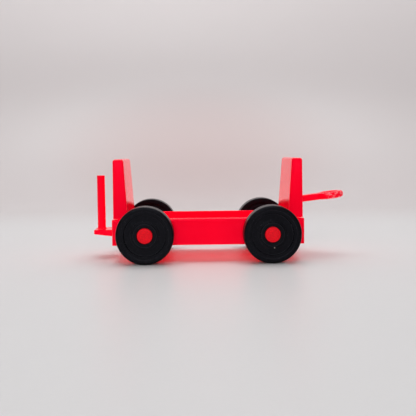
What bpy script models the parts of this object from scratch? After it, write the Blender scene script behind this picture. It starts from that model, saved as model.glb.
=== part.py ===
"""Toy flat wagon: a moulded body with a shallow load tray and an upright board across each end, four disc
wheels on two clamped steel axles, a pivoting drawbar with an eye in front and a lug with a hitch post behind.

+X points to the drawbar, +Y to the left side and +Z up. The ground is z = 0. Lengths are in metres.
"""

import math

import bmesh
import bpy
from mathutils import Matrix, Vector

# Gaps between pieces
SEAT_GAP = 0.0003  # between pieces that rest on or in each other
RUNNING_GAP = 0.00008  # radial, between a shaft and what turns on it
PRESS_GAP = 0.00003  # radial, where a cap is pressed on a rod

# Body block
BODY_LENGTH = 0.0844
BODY_WIDTH = 0.0400
BODY_TOP = 0.0191
BODY_BOTTOM = 0.0075
DECK_THICKNESS = 0.0020  # of the shelf under each end board
SKIRT_THICKNESS = 0.0017
TRAY_HALF_LENGTH = 0.0340
TRAY_FLOOR = 0.0155
FLOOR_THICKNESS = 0.0015
TRAY_END_WALL = 0.0014
TRAY_ROUNDING = 0.0004
BODY_ROUNDING = 0.0010
BODY_FOOT_ROUNDING = 0.0003

# Axles and wheels
WHEEL_RADIUS = 0.0125
WHEELBASE = 0.0548
WHEEL_INNER_Y = 0.0205
WHEEL_THICKNESS = 0.0078
AXLE_RADIUS = 0.00125
AXLE_HALF_LENGTH = 0.0271
WHEEL_STEPS = 36
SHOULDER = 0.0009
BACK_SHOULDER = 0.0003
RIM_STEP_RADIUS = 0.0104
RIM_STEP = 0.0004
RECESS_RADIUS = 0.0090
WEB_SINK = 0.0018
COLLAR_RADII = (0.0053, 0.0063)  # of the two steps round the hub
COLLAR_STEP = 0.0006
COLLAR_SINK = 0.0005
BACK_RECESS = 0.0030
BACK_HUB_RADIUS = 0.0040
HUB_CAP_RADIUS = 0.00333
HUB_CAP_RIM = 0.0002
HUB_CAP_THICKNESS = 0.0024
HUB_CAP_OUTER_Y = 0.0280
HUB_POCKET_RADIUS = 0.0035
HUB_POCKET_DEPTH = 0.0024

# End boards
BOARD_TOP = 0.0451
BOARD_OUTER_X = 0.0416
BOARD_INNER_X = (0.03515, 0.03695)  # at the deck and at the top
BOARD_HALF_WIDTH = (0.0192, 0.0174)
BOARD_WALL = 0.0012
BOARD_ROUNDING = 0.0011  # along the top; the upright edges get less
BOARD_EDGE_ROUNDING = 0.0007
LEG_OFFSET_Y = 0.0120
LEG_WIDTH = 0.0060
LEG_THICKNESS = 0.0020
LEG_BOTTOM = 0.0148
LEG_BARB = 0.0007

# Drawbar
PIVOT_X = 0.0386
PIVOT_Z = 0.02535
DRAWBAR_TILT = math.radians(7)
DRAWBAR_THICKNESS = 0.0031
DRAWBAR_WIDTH = 0.0050
DRAWBAR_HUB_RADIUS = 0.0017
BAR_SHORTFALL = 0.00005  # the bar's faces lie this far inside the eye's
EYE_REACH = 0.01848
EYE_OUTER_RADIUS = 0.0063
EYE_INNER_RADIUS = 0.0033
EYE_ROUNDING = 0.0012
PIN_RADIUS = 0.00075
PIN_HALF_LENGTH = 0.0058
RIB_OFFSET_Y = 0.0046
RIB_THICKNESS = 0.0016
SLOT_HALF_HEIGHT = 0.0030
SLOT_HALF_WIDTH = 0.0029

# Rear hitch
LUG_END_X = -0.0519
LUG_HALF_WIDTH = 0.0062
LUG_TOP = 0.01305
LUG_THICKNESS = 0.0031  # at its root
LUG_RISE = 0.0011  # of the underside, from root to tip
POST_X = -0.0490
POST_RADIUS = (0.00188, 0.00181)  # at its foot and at its top
POST_TOP = 0.0377
POST_FILLET = 0.00095
POST_RIM = 0.0002
LUG_ROUNDING = 0.0004
LUG_ROOT_WEIGHT = 0.6  # how much of the rounding the edges at the root get
TONGUE_HALF_WIDTH = 0.0040
TONGUE_BOTTOM = 0.0106
TONGUE_TOP = 0.0127
TONGUE_LENGTH = 0.0085
TONGUE_BARB = 0.0008

# Base plate, its screws and the axle cradles
PLATE_BOTTOM = 0.0080
PLATE_THICKNESS = 0.0016
CRADLE_OFFSET_Y = 0.0120
CRADLE_LENGTH = 0.0070
CRADLE_THICKNESS = 0.0020
SCREW_OFFSET = (0.0130, 0.0125)
BOSS_RADIUS = 0.0026
SCREW_RADIUS = 0.0010
SCREW_HEAD_RADIUS = 0.0019
SCREW_HEAD_HEIGHT = 0.0008
SCREW_LENGTH = 0.0055
SCREW_RIM = 0.0001
RECESS_SIZE = (0.0011, 0.00025, 0.00035)  # arm, half width and depth of the cross recess

CUTTER_OVERSHOOT = 0.001
FRONT, REAR = 1, -1
LEFT, RIGHT = 1, -1


def drawbar_tip_x():
    """Furthest point of the tilted eye, whose rim is rounded."""
    rim = EYE_OUTER_RADIUS - EYE_ROUNDING
    edge = DRAWBAR_THICKNESS / 2 - EYE_ROUNDING
    along = (EYE_REACH + rim) * math.cos(DRAWBAR_TILT)
    return PIVOT_X + along + edge * math.sin(DRAWBAR_TILT) + EYE_ROUNDING


def clear_scene():
    for old in list(bpy.data.objects):
        bpy.data.objects.remove(old)


def new_collection(name):
    made = bpy.data.collections.new(name)
    bpy.context.scene.collection.children.link(made)
    return made


def new_material(name, colour, roughness, metallic=0.0):
    made = bpy.data.materials.new(name)
    made.use_nodes = True
    shader = made.node_tree.nodes["Principled BSDF"]
    shader.inputs["Base Color"].default_value = (*colour, 1.0)
    shader.inputs["Roughness"].default_value = roughness
    shader.inputs["Metallic"].default_value = metallic
    return made


clear_scene()
PARTS = new_collection("toy_flat_wagon")
CUTTERS = new_collection("cutters")
ORIGIN = bpy.data.objects.new("wagon_origin", None)
ORIGIN.location = (-(LUG_END_X + drawbar_tip_x()) / 2, 0, 0)
PARTS.objects.link(ORIGIN)

RED_GLOSS = new_material("red_gloss_plastic", (0.90, 0.005, 0.02), 0.15)
RED_MATT = new_material("red_matt_plastic", (0.62, 0.02, 0.03), 0.45)
BLACK = new_material("black_plastic", (0.010, 0.010, 0.012), 0.30)
STEEL = new_material("steel", (0.60, 0.60, 0.62), 0.25, 1.0)


def as_object(name, bm, material=None):
    """Puts a bmesh in the scene: a part when it has a material, and otherwise a hidden helper."""
    mesh = bpy.data.meshes.new(name)
    bm.to_mesh(mesh)
    bm.free()
    made = bpy.data.objects.new(name, mesh)
    made.parent = ORIGIN
    if material is None:
        CUTTERS.objects.link(made)
        made.hide_render = True
        made.display_type = "WIRE"
    else:
        PARTS.objects.link(made)
        mesh.materials.append(material)
    return made


def block_mesh(low, high):
    bm = bmesh.new()
    low, high = Vector(low), Vector(high)
    bmesh.ops.create_cube(bm, size=1.0)
    bmesh.ops.scale(bm, vec=high - low, verts=bm.verts)
    bmesh.ops.translate(bm, vec=(low + high) / 2, verts=bm.verts)
    return bm


def block(name, low, high, material=None):
    return as_object(name, block_mesh(low, high), material)


def tapered_block(name, low, high, inner_shift, side_shift, material=None):
    """A block narrower at its top: the low-x side moves by inner_shift and both y sides by side_shift."""
    bm = block_mesh(low, high)
    top = max(v.co.z for v in bm.verts)
    least_x = min(v.co.x for v in bm.verts)
    for v in bm.verts:
        if v.co.z < top:
            continue
        if v.co.x == least_x:
            v.co.x += inner_shift
        v.co.y -= math.copysign(side_shift, v.co.y)
    return as_object(name, bm, material)


def rod(name, radius, start, end, axis, steps=24, material=None):
    """A cylinder along one axis, whose start and end are the centres of its caps."""
    bm = bmesh.new()
    start, end = Vector(start), Vector(end)
    turn = Matrix.Rotation(-math.pi / 2, 4, "X") if axis == "Y" else Matrix.Identity(4)
    bmesh.ops.create_cone(
        bm, cap_ends=True, segments=steps, radius1=radius, radius2=radius, depth=(end - start).length
    )
    bmesh.ops.rotate(bm, matrix=turn, verts=bm.verts)
    bmesh.ops.translate(bm, vec=(start + end) / 2, verts=bm.verts)
    made = as_object(name, bm, material)
    made.data.shade_smooth()
    made.data.set_sharp_from_angle(angle=math.radians(40))
    return made


def turned(name, profile, steps, closed=False, material=None):
    """A profile of (radius, height) points turned about local Z. It runs down its outer side."""
    bm = bmesh.new()
    points = [bm.verts.new((radius, 0, height)) for radius, height in profile]
    for first, second in zip(points, points[1:]):
        bm.edges.new((first, second))
    if closed:
        bm.edges.new((points[-1], points[0]))
    made = as_object(name, bm, material)
    screw = made.modifiers.new("turn", "SCREW")
    screw.steps = steps
    screw.render_steps = steps
    screw.use_merge_vertices = True
    screw.merge_threshold = 0.000001
    screw.use_smooth_shade = True
    return made


def quarter(centre, radius, start_degrees, end_degrees, steps=2):
    """Points along an arc of a profile."""
    turn = (end_degrees - start_degrees) / steps
    angles = [math.radians(start_degrees + turn * i) for i in range(steps + 1)]
    return [(centre[0] + radius * math.cos(a), centre[1] + radius * math.sin(a)) for a in angles]


def weight_edges(made, weight_of):
    """Sets each edge's bevel weight from its middle point."""
    bm = bmesh.new()
    bm.from_mesh(made.data)
    weights = bm.edges.layers.float.new("bevel_weight_edge")
    for edge in bm.edges:
        edge[weights] = weight_of((edge.verts[0].co + edge.verts[1].co) / 2)
    bm.to_mesh(made.data)
    bm.free()


def bevel(made, width, segments=3, weighted=False):
    modifier = made.modifiers.new("rounding", "BEVEL")
    modifier.width = width
    modifier.segments = segments
    modifier.limit_method = "WEIGHT" if weighted else "ANGLE"
    return made


def boolean(made, others, operation):
    for other in others:
        modifier = made.modifiers.new(operation.lower() + "_" + other.name, "BOOLEAN")
        modifier.operation = operation
        modifier.object = other
        modifier.solver = "EXACT"


def side_name(end, side):
    return ("front" if end == FRONT else "rear") + ("_left" if side == LEFT else "_right")


def corners():
    return [(end, side) for end in (FRONT, REAR) for side in (LEFT, RIGHT)]


def make_deck_body():
    """A shallow tray between two shelves for the end boards, with a skirt all round, open below."""
    half_x, half_y = BODY_LENGTH / 2, BODY_WIDTH / 2
    body = block("deck_body", (-half_x, -half_y, BODY_BOTTOM), (half_x, half_y, BODY_TOP), RED_GLOSS)
    foot_weight = BODY_FOOT_ROUNDING / BODY_ROUNDING
    weight_edges(body, lambda middle: foot_weight if middle.z < BODY_BOTTOM + SEAT_GAP else 1.0)
    bevel(body, BODY_ROUNDING, weighted=True)
    boolean(body, [tray(), *hollows()], "DIFFERENCE")
    boolean(body, deck_webs() + deck_bosses(), "UNION")
    cuts = board_seats() + axle_bores() + leg_slots() + pilot_holes() + [tongue_window()]
    boolean(body, cuts, "DIFFERENCE")


def tray():
    """The load space, flared at its rim to break the rim's inner edge."""
    half_x, half_y = TRAY_HALF_LENGTH, BODY_WIDTH / 2 - SKIRT_THICKNESS
    flare = TRAY_ROUNDING + CUTTER_OVERSHOOT
    levels = [(TRAY_FLOOR, 0.0), (BODY_TOP - TRAY_ROUNDING, 0.0), (BODY_TOP + CUTTER_OVERSHOOT, flare)]
    bm = bmesh.new()
    rings = []
    for z, grow in levels:
        x, y = half_x + grow, half_y + grow
        rings.append([bm.verts.new(corner) for corner in ((-x, -y, z), (x, -y, z), (x, y, z), (-x, y, z))])
    for lower, upper in zip(rings, rings[1:]):
        for i in range(4):
            j = (i + 1) % 4
            bm.faces.new((lower[i], lower[j], upper[j], upper[i]))
    bm.faces.new(rings[0][::-1])
    bm.faces.new(rings[-1])
    return as_object("tray", bm)


def hollows():
    """Below the tray's floor, and up into the shelf at each end."""
    under_floor = TRAY_FLOOR - FLOOR_THICKNESS
    inner_x, inner_y = BODY_LENGTH / 2 - SKIRT_THICKNESS, BODY_WIDTH / 2 - SKIRT_THICKNESS
    low = (-inner_x, -inner_y, BODY_BOTTOM - CUTTER_OVERSHOOT)
    made = [block("hollow", low, (inner_x, inner_y, under_floor))]
    for end in (FRONT, REAR):
        near_x = TRAY_HALF_LENGTH + TRAY_END_WALL
        low_x, high_x = sorted((end * near_x, end * inner_x))
        low = (low_x, -inner_y, under_floor - CUTTER_OVERSHOOT)
        made.append(block(f"hollow_{end}", low, (high_x, inner_y, BODY_TOP - DECK_THICKNESS)))
    return made


def deck_webs():
    """Half cradles that hang from the tray's floor over each axle."""
    made = []
    for end, side in corners():
        x, y = end * WHEELBASE / 2, side * CRADLE_OFFSET_Y
        low = (x - CRADLE_LENGTH / 2, y - CRADLE_THICKNESS / 2, WHEEL_RADIUS + SEAT_GAP / 2)
        high = (x + CRADLE_LENGTH / 2, y + CRADLE_THICKNESS / 2, TRAY_FLOOR - FLOOR_THICKNESS / 2)
        made.append(block("web_" + side_name(end, side), low, high))
    return made


def deck_bosses():
    made = []
    for end, side in corners():
        x, y = end * SCREW_OFFSET[0], side * SCREW_OFFSET[1]
        bottom = PLATE_BOTTOM + PLATE_THICKNESS + SEAT_GAP
        ends = ((x, y, bottom), (x, y, TRAY_FLOOR - FLOOR_THICKNESS / 2))
        made.append(rod("boss_" + side_name(end, side), BOSS_RADIUS, *ends, "Z", 16))
    return made


def axle_bores():
    made = []
    reach = BODY_WIDTH / 2 + CUTTER_OVERSHOOT
    for end in (FRONT, REAR):
        x = end * WHEELBASE / 2
        start, stop = (x, -reach, WHEEL_RADIUS), (x, reach, WHEEL_RADIUS)
        made.append(rod(f"axle_bore_{end}", AXLE_RADIUS + SEAT_GAP, start, stop, "Y"))
    return made


def board_seats():
    """The deck steps down under each end board, so that the board's foot is level with the deck."""
    made = []
    for end in (FRONT, REAR):
        inner_x, outer_x = end * (BOARD_INNER_X[0] - SEAT_GAP), end * (BODY_LENGTH / 2 + CUTTER_OVERSHOOT)
        low = (min(inner_x, outer_x), -BODY_WIDTH, BODY_TOP - SEAT_GAP)
        high = (max(inner_x, outer_x), BODY_WIDTH, BODY_TOP + CUTTER_OVERSHOOT)
        made.append(block(f"board_seat_{end}", low, high))
    return made


def leg_middle_x():
    """Legs stand against the inner wall of their board."""
    return BOARD_INNER_X[0] + BOARD_WALL / 2 + LEG_THICKNESS / 2


def leg_slots():
    made = []
    ceiling = BODY_TOP - DECK_THICKNESS
    for end, side in corners():
        x, y = end * leg_middle_x(), side * LEG_OFFSET_Y
        reach_x = LEG_THICKNESS / 2 + SEAT_GAP
        reach_y = LEG_WIDTH / 2 + SEAT_GAP
        low = (x - reach_x, y - reach_y, ceiling - CUTTER_OVERSHOOT)
        high = (x + reach_x, y + reach_y, BODY_TOP + CUTTER_OVERSHOOT)
        made.append(block("leg_slot_" + side_name(end, side), low, high))
    return made


def pilot_holes():
    made = []
    for end, side in corners():
        x, y = end * SCREW_OFFSET[0], side * SCREW_OFFSET[1]
        top = PLATE_BOTTOM + SCREW_LENGTH + SEAT_GAP
        start = (x, y, BODY_BOTTOM)
        radius = SCREW_RADIUS + PRESS_GAP
        made.append(rod("pilot_hole_" + side_name(end, side), radius, start, (x, y, top), "Z", 16))
    return made


def tongue_window():
    """The hitch's tongue goes through the rear skirt here."""
    reach = TONGUE_HALF_WIDTH + SEAT_GAP
    low = (-BODY_LENGTH / 2 - CUTTER_OVERSHOOT, -reach, TONGUE_BOTTOM - SEAT_GAP)
    high_x = -BODY_LENGTH / 2 + SKIRT_THICKNESS + CUTTER_OVERSHOOT
    return block("tongue_window", low, (high_x, reach, TONGUE_TOP + SEAT_GAP))


def make_end_board(name, end):
    """A hollow upright, open below, on two legs that snap under the deck. The rear one is turned round."""
    bottom = BODY_TOP
    draft_x = BOARD_INNER_X[1] - BOARD_INNER_X[0]
    draft_y = BOARD_HALF_WIDTH[0] - BOARD_HALF_WIDTH[1]
    low = (BOARD_INNER_X[0], -BOARD_HALF_WIDTH[0], bottom)
    high = (BOARD_OUTER_X, BOARD_HALF_WIDTH[0], BOARD_TOP)
    board = tapered_block(name, low, high, draft_x, draft_y, RED_GLOSS)
    upright = BOARD_EDGE_ROUNDING / BOARD_ROUNDING

    def rounding_weight(middle):
        if middle.z < bottom + SEAT_GAP:
            return 0.0
        return 1.0 if middle.z > BOARD_TOP - SEAT_GAP else upright

    weight_edges(board, rounding_weight)
    bevel(board, BOARD_ROUNDING, weighted=True)
    core_low = (low[0] + BOARD_WALL, low[1] + BOARD_WALL, bottom - CUTTER_OVERSHOOT)
    core_high = (BOARD_OUTER_X - BOARD_WALL, BOARD_HALF_WIDTH[0] - BOARD_WALL, BOARD_TOP - BOARD_WALL)
    core = tapered_block(name + "_core", core_low, core_high, draft_x, draft_y)
    boolean(board, [core], "DIFFERENCE")
    boolean(board, board_legs(name), "UNION")
    if end == FRONT:
        boolean(board, pin_ribs(bottom), "UNION")
        boolean(board, [drawbar_slot()] + pin_slots(bottom), "DIFFERENCE")
    else:
        board.rotation_euler.z = math.pi


def board_legs(name):
    made = []
    x = leg_middle_x()
    foot = BODY_TOP - DECK_THICKNESS - SEAT_GAP
    for side in (LEFT, RIGHT):
        y = side * LEG_OFFSET_Y
        reach = (LEG_THICKNESS / 2, LEG_WIDTH / 2)
        root = BODY_TOP + 3 * LEG_THICKNESS
        leg = block_mesh((x - reach[0], y - reach[1], LEG_BOTTOM), (x + reach[0], y + reach[1], root))
        made.append(as_object(f"{name}_leg_{side}", leg))
        barb = block_mesh((x, y - reach[1], LEG_BOTTOM), (x + reach[0] + LEG_BARB, y + reach[1], foot))
        for v in barb.verts:
            if v.co.z < foot and v.co.x > x:
                v.co.x -= LEG_BARB
        made.append(as_object(f"{name}_barb_{side}", barb))
    if name.startswith("rear"):
        for helper in made:
            helper.rotation_euler.z = math.pi
    return made


def pin_ribs(bottom):
    """Two ribs across the hollow front board, which hold the ends of the pivot pin."""
    made = []
    half = BOARD_WALL / 2
    top = BOARD_TOP - half
    for side in (LEFT, RIGHT):
        y = side * RIB_OFFSET_Y
        low = (BOARD_INNER_X[0] + half, y - RIB_THICKNESS / 2, bottom)
        made.append(
            tapered_block(
                f"pin_rib_{side}",
                low,
                (BOARD_OUTER_X - half, y + RIB_THICKNESS / 2, top),
                BOARD_INNER_X[1] - BOARD_INNER_X[0],
                0.0,
            )
        )
    return made


def pin_slots(bottom):
    """The pin drops in from below: each rib has an open slot with a round top."""
    radius = PIN_RADIUS + PRESS_GAP
    reach = RIB_OFFSET_Y + RIB_THICKNESS
    start, stop = (PIVOT_X, -reach, PIVOT_Z), (PIVOT_X, reach, PIVOT_Z)
    seat = rod("pin_seat", radius, start, stop, "Y")
    low = (PIVOT_X - radius, -reach, bottom - CUTTER_OVERSHOOT)
    return [seat, block("pin_slot", low, (PIVOT_X + radius, reach, PIVOT_Z))]


def drawbar_slot():
    low = (BOARD_OUTER_X - BOARD_WALL - CUTTER_OVERSHOOT / 2, -SLOT_HALF_WIDTH, PIVOT_Z - SLOT_HALF_HEIGHT)
    high = (BOARD_OUTER_X + CUTTER_OVERSHOOT, SLOT_HALF_WIDTH, PIVOT_Z + SLOT_HALF_HEIGHT)
    return block("drawbar_slot", low, high)


def make_drawbar():
    """An eye on a level bar with a hub across its inner end, all tilted up about the pivot."""
    half = DRAWBAR_THICKNESS / 2
    edge = half - EYE_ROUNDING
    outer = EYE_OUTER_RADIUS - EYE_ROUNDING
    inner = EYE_INNER_RADIUS + EYE_ROUNDING
    profile = quarter((outer, edge), EYE_ROUNDING, 90, 0)
    profile += quarter((outer, -edge), EYE_ROUNDING, 0, -90)
    profile += quarter((inner, -edge), EYE_ROUNDING, 270, 180)
    profile += quarter((inner, edge), EYE_ROUNDING, 180, 90)
    drawbar = turned("drawbar", profile, 36, closed=True, material=RED_GLOSS)
    pivot = bpy.data.objects.new("drawbar_pivot", None)
    pivot.parent = ORIGIN
    pivot.location = (PIVOT_X, 0, PIVOT_Z)
    pivot.rotation_euler.y = -DRAWBAR_TILT
    PARTS.objects.link(pivot)
    drawbar.parent = pivot
    drawbar.location.x = EYE_REACH
    bar_end = EYE_REACH - (EYE_OUTER_RADIUS + EYE_INNER_RADIUS) / 2
    bar_half = half - BAR_SHORTFALL
    bar = block("bar", (0, -DRAWBAR_WIDTH / 2, -bar_half), (bar_end, DRAWBAR_WIDTH / 2, bar_half))
    bevel(bar, EYE_ROUNDING / 2, 2)
    hub_ends = ((0, -DRAWBAR_WIDTH / 2, 0), (0, DRAWBAR_WIDTH / 2, 0))
    hub = rod("bar_hub", DRAWBAR_HUB_RADIUS, *hub_ends, "Y")
    bore_ends = ((0, -DRAWBAR_WIDTH, 0), (0, DRAWBAR_WIDTH, 0))
    bore = rod("bar_bore", PIN_RADIUS + RUNNING_GAP, *bore_ends, "Y")
    for helper in (bar, hub, bore):
        helper.parent = pivot
    boolean(drawbar, [bar, hub], "UNION")
    boolean(drawbar, [bore], "DIFFERENCE")


def make_pin_and_keeper():
    ends = ((PIVOT_X, -PIN_HALF_LENGTH, PIVOT_Z), (PIVOT_X, PIN_HALF_LENGTH, PIVOT_Z))
    rod("drawbar_pivot_pin", PIN_RADIUS, *ends, "Y", material=STEEL)
    base = BODY_TOP
    half_x = PIN_RADIUS - SEAT_GAP / 2
    low = (PIVOT_X - half_x, -PIN_HALF_LENGTH, base)
    high = (PIVOT_X + half_x, PIN_HALF_LENGTH, PIVOT_Z - PIN_RADIUS - SEAT_GAP)
    keeper = block("drawbar_pin_keeper", low, high, RED_GLOSS)
    inside = RIB_OFFSET_Y - RIB_THICKNESS / 2 - SEAT_GAP
    floor = base + 2 * PIN_RADIUS
    gap = block("keeper_gap", (PIVOT_X - PIN_RADIUS, -inside, floor), (PIVOT_X + PIN_RADIUS, inside, PIVOT_Z))
    boolean(keeper, [gap], "DIFFERENCE")


def make_rear_hitch():
    """A lug with a post on it. Its split tongue snaps through the rear skirt."""
    root_x = -BODY_LENGTH / 2 - SEAT_GAP
    bottom = LUG_TOP - LUG_THICKNESS
    low = (LUG_END_X, -LUG_HALF_WIDTH, bottom)
    lug = block("rear_hitch", low, (root_x, LUG_HALF_WIDTH, LUG_TOP), RED_GLOSS)
    middle_x = (LUG_END_X + root_x) / 2
    for v in lug.data.vertices:
        if v.co.x < middle_x and v.co.z < TONGUE_BOTTOM:
            v.co.z += LUG_RISE
    weight_edges(lug, lambda middle: 1.0 if middle.x < middle_x else LUG_ROOT_WEIGHT)
    bevel(lug, LUG_ROUNDING, 2, weighted=True)
    sunk = TONGUE_TOP - SEAT_GAP
    foot = POST_RADIUS[0] + POST_FILLET
    rim = POST_RADIUS[1] - POST_RIM
    profile = [(0, POST_TOP), (rim, POST_TOP), (POST_RADIUS[1], POST_TOP - POST_RIM)]
    profile += quarter((foot, LUG_TOP + POST_FILLET), POST_FILLET, 180, 270, 3)
    profile += [(foot, sunk), (0, sunk)]
    post = turned("hitch_post", profile, 24)
    post.location.x = POST_X
    boolean(lug, [*hitch_tongue(root_x), post], "UNION")
    barb_x = -BODY_LENGTH / 2 + SKIRT_THICKNESS + SEAT_GAP
    low = (barb_x, -TONGUE_BARB, bottom)
    slit = block("tongue_slit", low, (root_x + TONGUE_LENGTH + CUTTER_OVERSHOOT, TONGUE_BARB, LUG_TOP))
    boolean(lug, [slit], "DIFFERENCE")


def hitch_tongue(root_x):
    """The plain tongue, and the barbed head behind the skirt, which narrows inwards."""
    reach = TONGUE_HALF_WIDTH
    end_x = root_x + TONGUE_LENGTH
    tongue = block("tongue", (root_x - LUG_THICKNESS, -reach, TONGUE_BOTTOM), (end_x, reach, TONGUE_TOP))
    barb_x = -BODY_LENGTH / 2 + SKIRT_THICKNESS + SEAT_GAP
    widest = reach + TONGUE_BARB
    barb = block_mesh((barb_x, -widest, TONGUE_BOTTOM), (end_x, widest, TONGUE_TOP))
    for v in barb.verts:
        if v.co.x > barb_x + SEAT_GAP:
            v.co.y -= math.copysign(2 * TONGUE_BARB, v.co.y)
    return [tongue, as_object("tongue_barb", barb)]


def make_base_plate():
    inset = SKIRT_THICKNESS + SEAT_GAP
    half_x, half_y = BODY_LENGTH / 2 - inset, BODY_WIDTH / 2 - inset
    top = PLATE_BOTTOM + PLATE_THICKNESS
    plate = block("base_plate", (-half_x, -half_y, PLATE_BOTTOM), (half_x, half_y, top), RED_GLOSS)
    cradles = []
    holes = []
    for end, side in corners():
        name = side_name(end, side)
        x, y = end * WHEELBASE / 2, side * CRADLE_OFFSET_Y
        low = (x - CRADLE_LENGTH / 2, y - CRADLE_THICKNESS / 2, top - PLATE_THICKNESS / 2)
        high = (x + CRADLE_LENGTH / 2, y + CRADLE_THICKNESS / 2, WHEEL_RADIUS - SEAT_GAP / 2)
        cradles.append(block("cradle_" + name, low, high))
        x, y = end * SCREW_OFFSET[0], side * SCREW_OFFSET[1]
        through = (x, y, top + CUTTER_OVERSHOOT)
        below = (x, y, PLATE_BOTTOM - CUTTER_OVERSHOOT)
        holes.append(rod("screw_hole_" + name, SCREW_RADIUS + SEAT_GAP, below, through, "Z", 16))
        seat = (x, y, PLATE_BOTTOM + SCREW_HEAD_HEIGHT)
        holes.append(rod("screw_seat_" + name, SCREW_HEAD_RADIUS + SEAT_GAP, below, seat, "Z", 16))
    saddles = []
    for end in (FRONT, REAR):
        x = end * WHEELBASE / 2
        ends = ((x, -half_y, WHEEL_RADIUS), (x, half_y, WHEEL_RADIUS))
        saddles.append(rod(f"axle_saddle_{end}", AXLE_RADIUS + PRESS_GAP, *ends, "Y"))
    boolean(plate, cradles, "UNION")
    boolean(plate, holes + saddles, "DIFFERENCE")


def make_screws():
    """Sunk into the plate from below, with a cross recess. Local Z runs up from the head."""
    under = SCREW_HEAD_HEIGHT - SEAT_GAP
    taper = SCREW_LENGTH - 2 * SCREW_RADIUS
    profile = [(0, SCREW_LENGTH), (SCREW_RADIUS / 2, SCREW_LENGTH), (SCREW_RADIUS, taper)]
    profile += [(SCREW_RADIUS, under), (SCREW_HEAD_RADIUS, under), (SCREW_HEAD_RADIUS, SCREW_RIM)]
    profile += [(SCREW_HEAD_RADIUS - SCREW_RIM, 0), (0, 0)]
    arm, half_slot, depth = RECESS_SIZE
    for end, side in corners():
        name = side_name(end, side)
        place = (end * SCREW_OFFSET[0], side * SCREW_OFFSET[1], PLATE_BOTTOM)
        screw = turned("base_screw_" + name, profile, 16, material=STEEL)
        along = block("recess_x_" + name, (-arm, -half_slot, -depth), (arm, half_slot, depth))
        across = block("recess_y_" + name, (-half_slot, -arm, -depth), (half_slot, arm, depth))
        for piece in (screw, along, across):
            piece.location = place
        boolean(screw, [along, across], "DIFFERENCE")


def wheel_profile():
    """Section of a wheel as (radius, height from its inner face), down its outer side and up its bore."""
    radius, face = WHEEL_RADIUS, WHEEL_THICKNESS
    bore = AXLE_RADIUS + RUNNING_GAP
    collar = face - COLLAR_SINK
    step = collar - COLLAR_STEP
    web = face - WEB_SINK
    profile = [(HUB_POCKET_RADIUS, collar), (COLLAR_RADII[0], collar), (COLLAR_RADII[0], step)]
    profile += [(COLLAR_RADII[1], step), (COLLAR_RADII[1], web), (RECESS_RADIUS, web)]
    profile += [(RECESS_RADIUS, face - RIM_STEP), (RIM_STEP_RADIUS, face - RIM_STEP), (RIM_STEP_RADIUS, face)]
    profile += quarter((radius - SHOULDER, face - SHOULDER), SHOULDER, 90, 0)
    profile += quarter((radius - BACK_SHOULDER, BACK_SHOULDER), BACK_SHOULDER, 0, -90)
    profile += [(RIM_STEP_RADIUS, 0), (RIM_STEP_RADIUS, BACK_RECESS), (BACK_HUB_RADIUS, BACK_RECESS)]
    profile += [(BACK_HUB_RADIUS, 0), (bore, 0)]
    pocket_floor = collar - HUB_POCKET_DEPTH
    profile += [(bore, pocket_floor), (HUB_POCKET_RADIUS, pocket_floor)]
    return profile


def hub_cap_profile():
    """Height runs outwards from the cap's inner face. A blind hole in that face takes the axle's end."""
    hole = AXLE_RADIUS + PRESS_GAP
    depth = AXLE_HALF_LENGTH - (HUB_CAP_OUTER_Y - HUB_CAP_THICKNESS) + PRESS_GAP
    profile = [(0, HUB_CAP_THICKNESS), (HUB_CAP_RADIUS - HUB_CAP_RIM, HUB_CAP_THICKNESS)]
    profile += [(HUB_CAP_RADIUS, HUB_CAP_THICKNESS - HUB_CAP_RIM), (HUB_CAP_RADIUS, 0)]
    profile += [(hole, 0), (hole, depth), (0, depth)]
    return profile


def make_running_gear():
    for end in (FRONT, REAR):
        x = end * WHEELBASE / 2
        ends = ((x, -AXLE_HALF_LENGTH, WHEEL_RADIUS), (x, AXLE_HALF_LENGTH, WHEEL_RADIUS))
        rod("front_axle" if end == FRONT else "rear_axle", AXLE_RADIUS, *ends, "Y", material=STEEL)
    for end, side in corners():
        name = side_name(end, side)
        wheel = turned("wheel_" + name, wheel_profile(), WHEEL_STEPS, closed=True, material=BLACK)
        cap = turned("hub_cap_" + name, hub_cap_profile(), 28, material=RED_MATT)
        wheel.location = (end * WHEELBASE / 2, side * WHEEL_INNER_Y, WHEEL_RADIUS)
        cap.location = (end * WHEELBASE / 2, side * (HUB_CAP_OUTER_Y - HUB_CAP_THICKNESS), WHEEL_RADIUS)
        for piece in (wheel, cap):
            piece.rotation_euler.x = -side * math.pi / 2


make_deck_body()
make_end_board("front_end_board", FRONT)
make_end_board("rear_end_board", REAR)
make_drawbar()
make_pin_and_keeper()
make_rear_hitch()
make_base_plate()
make_screws()
make_running_gear()
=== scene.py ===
"""The toy flat wagon as it looks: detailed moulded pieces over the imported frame, on a pale sweep.

Lengths are in metres in the frame's own axes: +X to the drawbar, +Y to the left side, +Z up. Sizes that
belong to one piece are given from that piece's CAD box or from the middle of the deck body.
"""

import math

import bmesh
import bpy
from mathutils import Matrix, Vector


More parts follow.
